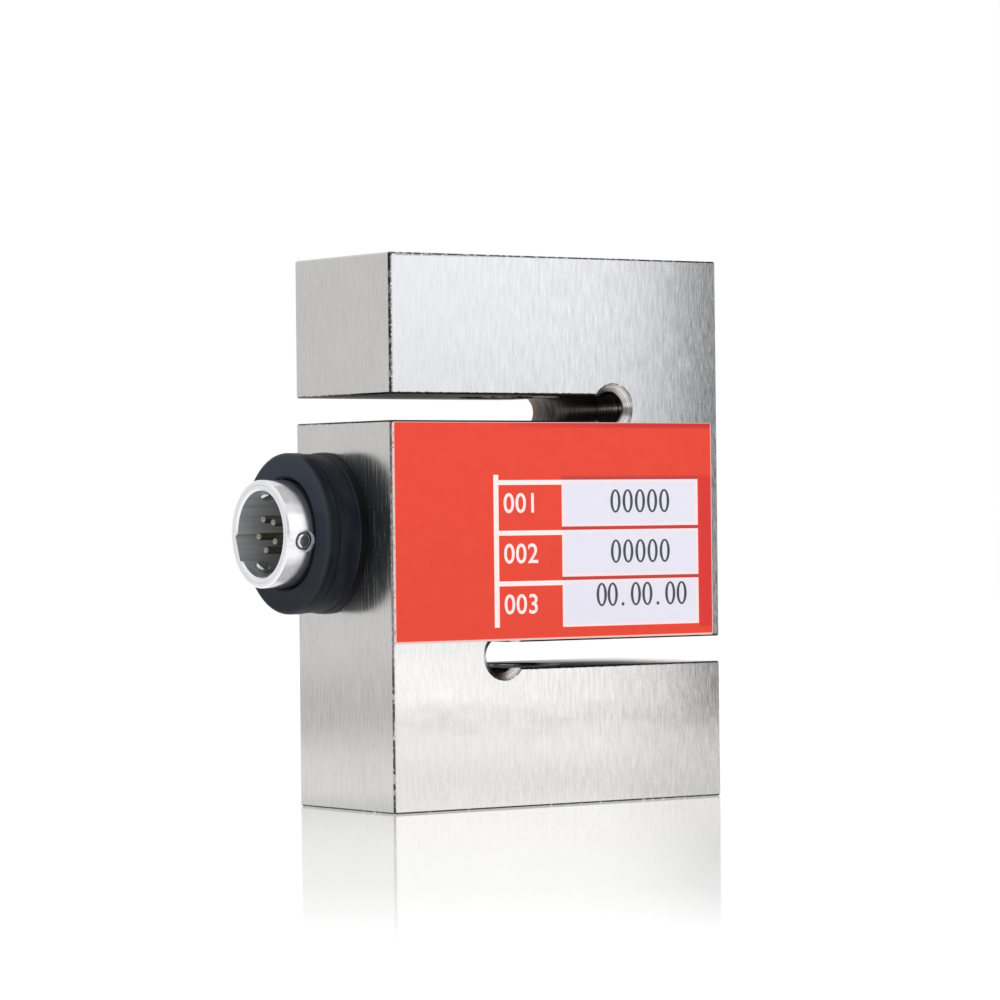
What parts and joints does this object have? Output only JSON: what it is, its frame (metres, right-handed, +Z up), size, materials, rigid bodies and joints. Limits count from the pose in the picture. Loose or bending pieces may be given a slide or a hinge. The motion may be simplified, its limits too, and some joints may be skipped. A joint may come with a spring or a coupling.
{
  "type": "s type load cell",
  "caption": "S-shaped metal load cell with slots from both ends, threaded load holes top and bottom, a red label plate and a round bayonet connector on one end.",
  "frame": {"origin": "on the load axis at the lower face, where the lower thread opens", "axes": "+Z up the load axis to the upper thread, X along the slots with the connector at -X, -Y out of the label plate"},
  "size_m": [0.0558, 0.0239, 0.064],
  "materials": {
    "plated_body": "nickel-plated alloy steel, finely brushed",
    "label_red": "satin red print on a thin pale plate",
    "collar_black": "satin moulded rubber",
    "shell_chrome": "bright plated, fine turned",
    "insert_grey": "dull moulded insulator",
    "ring_steel": "plain spring steel",
    "seal_rubber": "soft seal rubber",
    "lid_aluminium": "rolled sheet",
    "potting_silicone": "cured translucent silicone",
    "board_green": "solder-masked laminate",
    "resistor_ceramic": "chip resistor body",
    "stud_steel": "bright plated studs",
    "pin_plated": "thinly gold-plated brass",
    "wire_sheath": "insulated wire",
    "gauge_foil": "foil gauge on amber film",
    "tail_film": "amber flat ribbon",
    "print_white": "white printed numbers",
    "print_dark": "dark printed figures"
  },
  "bodies": {
    "root": {"bayonet_stud_1": "stud_steel", "bayonet_stud_2": "stud_steel", "bayonet_stud_3": "stud_steel", "connector_collar": "collar_black", "connector_shell": "shell_chrome", "contact_pin_1": "pin_plated", "contact_pin_2": "pin_plated", "contact_pin_3": "pin_plated", "contact_pin_4": "pin_plated", "contact_pin_5": "pin_plated", "face_seal": "seal_rubber", "gauge_tail_left_lower": "tail_film", "gauge_tail_left_upper": "tail_film", "gauge_tail_right_lower": "tail_film", "gauge_tail_right_upper": "tail_film", "insert_ring": "ring_steel", "label_plate": "label_red", "lead_wire_1": "wire_sheath", "lead_wire_2": "wire_sheath", "lead_wire_3": "wire_sheath", "lead_wire_4": "wire_sheath", "lead_wire_5": "wire_sheath", "pin_insert": "insert_grey", "pocket_lid": "lid_aluminium", "potting_pad": "potting_silicone", "s_body": "plated_body", "strain_gauge_left_lower": "gauge_foil", "strain_gauge_left_upper": "gauge_foil", "strain_gauge_right_lower": "gauge_foil", "strain_gauge_right_upper": "gauge_foil", "terminal_board": "board_green", "trim_resistor_lower": "resistor_ceramic", "trim_resistor_upper": "resistor_ceramic"}
  },
  "joints": []
}
